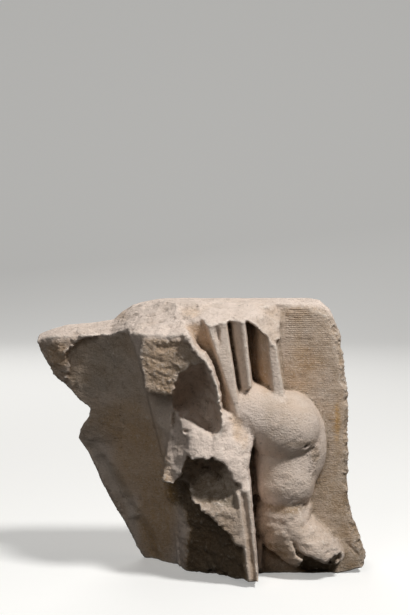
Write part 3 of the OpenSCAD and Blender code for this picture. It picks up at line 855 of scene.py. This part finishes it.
# matt and chalky to the eye, with brown skin on worked faces and paler breaks
limestone = bpy.data.materials.new("tooledLimestone")
combRidges = bpy.data.objects.new("combRidges", bpy.data.meshes.new("combRidges"))
bpy.context.collection.objects.link(combRidges)
combing = combRidges.modifiers.new("combing", "NODES")
combing.node_group = combTree(limestone)
for socket in combing.node_group.interface.items_tree:
    if socket.in_out == "INPUT" and socket.name in comb:
        combing[socket.identifier] = comb[socket.name]
    elif socket.in_out == "INPUT" and socket.name == "Stone":
        combing[socket.identifier] = piece
plainMesh(combRidges, "combRidges")
print("comb ridges", len(combRidges.data.vertices), "points")

# the ridges become part of the stone's own mesh
stonePoints = meshNumbers(piece.data, "vertices", "co", 3, np.float32)
ridgePoints = meshNumbers(combRidges.data, "vertices", "co", 3, np.float32)
stoneFaces = [list(face.vertices) for face in piece.data.polygons]
ridgeFaces = [[len(stonePoints) + i for i in face.vertices] for face in combRidges.data.polygons]
mesh = bpy.data.meshes.new("corbelStone")
mesh.from_pydata(np.vstack([stonePoints, ridgePoints]).tolist(), [], stoneFaces + ridgeFaces)
piece.data = mesh
piece.data.shade_smooth()
bpy.data.objects.remove(combRidges)


def averaged(field, cells):
    # mean of a grid field over a cube of cells on each side
    for axis in range(3):
        padded = np.pad(field, [(cells + 1, cells) if a == axis else (0, 0) for a in range(3)], "edge")
        run = np.cumsum(padded, axis, dtype=np.float32)
        count = field.shape[axis]
        ahead = np.take(run, range(2 * cells + 1, 2 * cells + 1 + count), axis)
        field = (ahead - np.take(run, range(count), axis)) / (2 * cells + 1)
    return field


def gridAt(field, spots):
    # value of a grid field at places in the frame, which are in metres
    scaled = [1000 * spots[:, 0] - across.ravel()[0],
              -1000 * spots[:, 1] - reach.ravel()[0],
              1000 * (spots[:, 2] - stoneLow[2]) - level.ravel()[0]]
    cell = [np.clip(np.rint(s / block["grain"]).astype(int), 0, n - 1) for s, n in zip(scaled, gridSize)]
    return field[tuple(cell)]


solid = np.clip(0.5 - stone / block["grain"], 0, 1)
# the two fields below find hollows and deep recesses, which the colour darkens as painted shade
crevice = averaged(solid, 2) - 0.5  # over 0 in hollows, under 0 on arrises
sunk = averaged(averaged(solid, 5), 5) - 0.5
onFront = np.clip(1 - (onGrid(reliefMap) - reach - 5) / 5, 0, 1) * (1 - nearTop)
onLeg = np.clip((reach - onGrid(reliefMap) - 2) / 4, 0, 1) * (across > 30) * (1 - nearTop)
agedAndShadedFront = usual["agedAndShaded"] + (onGrid(agedAndShadedMap) - usual["agedAndShaded"]) * onFront
palerBelowKnee = 0.5 * onLeg * np.clip((215 - level) / 60, 0, 1)  # palest from the knee down
skin = {  # what the limestone reads at each point
    "agedAndShaded": 0.1 * nearTop + agedAndShadedFront * (1 - nearTop) - palerBelowKnee + onGrid(paintedShadeMap),
    "brown": usual["brown"] + (onGrid(brownMap) - usual["brown"]) * onFront,
    "ochre": onGrid(ochreMap) * np.maximum(onFront, nearTop),
    "crevice": crevice,
    "sunk": sunk,
    "broken": roughness,
}
spots = meshNumbers(piece.data, "vertices", "co", 3, float)
for name, field in skin.items():
    values = piece.data.attributes.new(name, "FLOAT", "POINT")
    values.data.foreach_set("value", gridAt(field, spots).astype(np.float32))
print("skin mapped")


def toLinear(hexColour):
    # written colour to the linear one that nodes and lamps take
    parts = [int(hexColour[i:i + 2], 16) / 255 for i in (1, 3, 5)]
    return [c / 12.92 if c <= 0.04045 else ((c + 0.055) / 1.055) ** 2.4 for c in parts] + [1.0]


lime = {
    "pale": "#e6d4c6",
    "brown": "#b28f67",
    "grey": "#9f9280",
    "ochre": "#c0924c",
    "dirtAndShade": "#594834",
    "dust": "#efe2d4",
    "gloss": 0.2,
    "roughness": 0.92,
    "strokeLean": 35,  # degrees that the picked strokes lean down to the left
    "strokeLength": 0.3,  # the smaller, the longer they are
    # noise: size in metres, detail, roughness
    "clouds": {"drift": (0.06, 6, 0.6), "blotch": (0.01, 5, 0.65), "hue": (0.03, 3, 0.55),
               "ochreMottle": (0.009, 5, 0.7), "creviceMottle": (0.012, 5, 0.6), "rub": (0.02, 4, 0.55),
               "grains": (0.0024, 3, 0.6), "fineGrains": (0.0014, 2, 0.5), "crumbs": (0.004, 6, 0.7),
               "strokes": (0.0018, 2, 0.5)},
    # what each cloud does to the skin: which mask, which cloud, how far it swings
    "swings": [("agedAndShaded", "drift", 0.14), ("agedAndShaded", "blotch", 0.12), ("brown", "hue", 0.24)],
    # colour laid on in turn, where each (mask, from, to, least, most) allows
    "layers": [("brown", ("brown", 0, 1, 0, 1)),
               ("pale", ("agedAndShaded", 0, 1, 1, 0)),
               # on the darkest skin the dark tint is partly old dirt and partly painted shade
               ("dirtAndShade", ("agedAndShaded", 0.8, 1.2, 0, 0.75)),
               ("ochre", ("ochre", 0, 1, 0, 1), ("ochreMottle", 0.38, 0.62, 0.7, 1.0)),
               # the next two layers darken hollows and deep recesses as painted shade
               ("dirtAndShade", ("crevice", 0.04, 0.26, 0, 1), ("creviceMottle", 0.35, 0.6, 0.3, 0.8)),
               ("dirtAndShade", ("sunk", 0.12, 0.34, 0, 0.7)),
               ("dust", ("crevice", -0.04, -0.2, 0, 0.8), ("rub", 0.4, 0.6, 0.3, 1),
                ("agedAndShaded", 0.8, 1.1, 1, 0.3)),
               ("dirtAndShade", ("grains", 0.57, 0.73, 0, 0.3)),
               ("dust", ("fineGrains", 0.55, 0.75, 0, 0.4), ("agedAndShaded", 0.8, 1.1, 1, 0.2))],
    # relief too fine for the mesh: what, strength, depth in metres
    "bumps": [("strokes", 0.4, 0.0012), ("grains", 0.55, 0.0013), ("crumbs", 1.0, 0.0036),
              ("fineGrains", 0.7, 0.0008)],
}


def tooledLimestone(material):
    # fine grains, picked strokes and crumbs under a skin that is brown where old and pale where broken
    material.use_nodes = True
    tree = material.node_tree
    shader = tree.nodes["Principled BSDF"]
    shader.inputs["Roughness"].default_value = lime["roughness"]
    shader.inputs["Specular IOR Level"].default_value = lime["gloss"]
    place = addNode(tree, "ShaderNodeTexCoord").outputs["Object"]
    leaning = addNode(tree, "ShaderNodeMapping", None, Vector=place, Scale=(lime["strokeLength"], 1, 1),
                      Rotation=(0, math.radians(lime["strokeLean"]), 0)).outputs[0]
    signal = {}
    for name, (size, detail, roughness) in lime["clouds"].items():
        signal[name] = addNode(tree, "ShaderNodeTexNoise", None, Scale=1 / size, Detail=detail,
                               Roughness=roughness,
                               Vector=leaning if name == "strokes" else place).outputs[0]
    for name in skin:
        signal[name] = addNode(tree, "ShaderNodeAttribute", {"attribute_name": name}).outputs["Fac"]
    for name, cloud, swing in lime["swings"]:
        sway = addNode(tree, "ShaderNodeMapRange", None, i0=signal[cloud], i1=0.3, i2=0.7,
                       i3=-swing, i4=swing)
        signal[name] = addNode(tree, "ShaderNodeMath", {"operation": "ADD"}, i0=signal[name],
                               i1=sway.outputs[0]).outputs[0]
    # crumbs only stand up where the stone is broken
    signal["crumbs"] = addNode(tree, "ShaderNodeMath", {"operation": "MULTIPLY"}, i0=signal["crumbs"],
                               i1=signal["broken"]).outputs[0]
    colour = toLinear(lime["grey"])
    for tint, *masks in lime["layers"]:
        share = 1.0
        for name, start, end, least, most in masks:
            mask = addNode(tree, "ShaderNodeMapRange", None, i0=signal[name], i1=start, i2=end,
                           i3=least, i4=most)
            share = addNode(tree, "ShaderNodeMath", {"operation": "MULTIPLY"}, i0=mask.outputs[0],
                            i1=share).outputs[0]
        colour = addNode(tree, "ShaderNodeMix", {"data_type": "RGBA"}, i0=share, i6=colour,
                         i7=toLinear(lime[tint])).outputs[2]
    tree.links.new(colour, shader.inputs["Base Color"])
    under = {}
    for name, strength, depth in lime["bumps"]:
        bump = addNode(tree, "ShaderNodeBump", None, Height=signal[name], Strength=strength,
                       Distance=depth, **under)
        under = {"Normal": bump.outputs[0]}
    tree.links.new(bump.outputs[0], shader.inputs["Normal"])


tooledLimestone(limestone)
piece.data.materials.append(limestone)
print("limestone made")

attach(piece, "root")
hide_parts("corbel")

studio = {  # sizes in metres, angles in degrees
    "paper": "#dcdbd8",
    "paperBounce": 0.12,  # how much of its light the paper hands back to the stone
    "paperGlow": 0.45,  # what is added to it for the camera
    "paperHalf": 6,  # half its width, and how far it runs forward
    "paperTop": 5,
    "sweepStart": 2.6,  # where the paper begins to curve up, behind the wall face
    "sweepRadius": 1.0,
    "keyFrom": (0.42, -0.43, 0.8),  # direction to the key lamp
    "keyAway": 2.2,
    "keySize": 0.4,
    "keyPower": 44,
    "fillFrom": (-0.9, -2.0, 1.2),
    "fillPower": 8,
    "backFrom": (-0.5, 2.1, 1.5),  # only lights the cut face at the back
    "backPower": 22,
    "softSize": 1.2,  # of the fill and back lamps
    "sky": "#eeeeee",
    "skyStrength": 0.03,
    "backdropStrength": 0.8,  # of the world that the camera sees past the paper
    "lens": 100,
    "eyeAway": 1.704,
    "eyeHeight": 0.404,
    "eyeDown": 4,
}


def paperSweep():
    # floor that curves up into a backdrop behind the stone, in 16 steps
    ground, half = stoneLow[2], studio["paperHalf"]
    start, radius = studio["sweepStart"], studio["sweepRadius"]
    profile = [(-half, ground), (start, ground)]
    for i in range(1, 17):
        turn = math.radians(90 * i / 16)
        profile.append((start + radius * math.sin(turn), ground + radius * (1 - math.cos(turn))))
    profile.append((start + radius, studio["paperTop"]))
    spots = [(x, y, z) for x in (-half, half) for y, z in profile]
    n = len(profile)
    faces = [(i, n + i, n + i + 1, i + 1) for i in range(n - 1)]
    data = bpy.data.meshes.new("paperSweep")
    data.from_pydata(spots, [], faces)
    data.shade_smooth()
    sweep = bpy.data.objects.new("paperSweep", data)
    bpy.context.collection.objects.link(sweep)
    return sweep


sweep = paperSweep()
paper = bpy.data.materials.new("palePaper")  # matt and pale to the camera, darker to the stone
paper.use_nodes = True
tree = paper.node_tree
tree.nodes.clear()
seen = addNode(tree, "ShaderNodeLightPath").outputs["Is Camera Ray"]
shade = [c * studio["paperBounce"] for c in toLinear(studio["paper"])[:3]] + [1]
dark = addNode(tree, "ShaderNodeBsdfDiffuse", None, Color=shade)
pale = addNode(tree, "ShaderNodeBsdfDiffuse", None, Color=toLinear(studio["paper"]))
glow = addNode(tree, "ShaderNodeEmission", None, Color=toLinear(studio["paper"]),
               Strength=studio["paperGlow"])
lift = addNode(tree, "ShaderNodeAddShader", None, i0=pale.outputs[0], i1=glow.outputs[0])
mix = addNode(tree, "ShaderNodeMixShader", None, Fac=seen, i1=dark.outputs[0], i2=lift.outputs[0])
addNode(tree, "ShaderNodeOutputMaterial", None, Surface=mix.outputs[0])
sweep.data.materials.append(paper)

world = bpy.data.worlds.new("studio")
world.use_nodes = True
tree = world.node_tree
tree.nodes.clear()
seen = addNode(tree, "ShaderNodeLightPath").outputs["Is Camera Ray"]
dim = addNode(tree, "ShaderNodeBackground", None, Color=toLinear(studio["sky"]),
              Strength=studio["skyStrength"])
bright = addNode(tree, "ShaderNodeBackground", None, Color=toLinear(studio["paper"]),
                 Strength=studio["backdropStrength"])
mix = addNode(tree, "ShaderNodeMixShader", None, Fac=seen, i1=dim.outputs[0], i2=bright.outputs[0])
addNode(tree, "ShaderNodeOutputWorld", None, Surface=mix.outputs[0])
bpy.context.scene.world = world


def softLamp(name, spot, aim, size, power):
    data = bpy.data.lights.new(name, "AREA")
    data.shape, data.size, data.energy = "DISK", size, power
    lamp = bpy.data.objects.new(name, data)
    lamp.location = spot
    lamp.rotation_euler = (Vector(aim) - Vector(spot)).to_track_quat("-Z", "Y").to_euler()
    bpy.context.collection.objects.link(lamp)


keySpot = Vector(studio["keyFrom"]).normalized() * studio["keyAway"]
softLamp("keyLamp", keySpot, (0, -0.08, 0), studio["keySize"], studio["keyPower"])
softLamp("fillLamp", studio["fillFrom"], (0, -0.1, 0), studio["softSize"], studio["fillPower"])
softLamp("backLamp", studio["backFrom"], (0, 0, 0), studio["softSize"], studio["backPower"])
print("studio lit")

camera = bpy.data.objects.new("camera", bpy.data.cameras.new("camera"))
camera.data.lens = studio["lens"]
camera.location = (0, stoneLow[1] - studio["eyeAway"], stoneLow[2] + studio["eyeHeight"])
camera.rotation_euler = (math.radians(90 - studio["eyeDown"]), 0, 0)
bpy.context.collection.objects.link(camera)
bpy.context.scene.camera = camera
bpy.context.scene.view_settings.view_transform = "Standard"
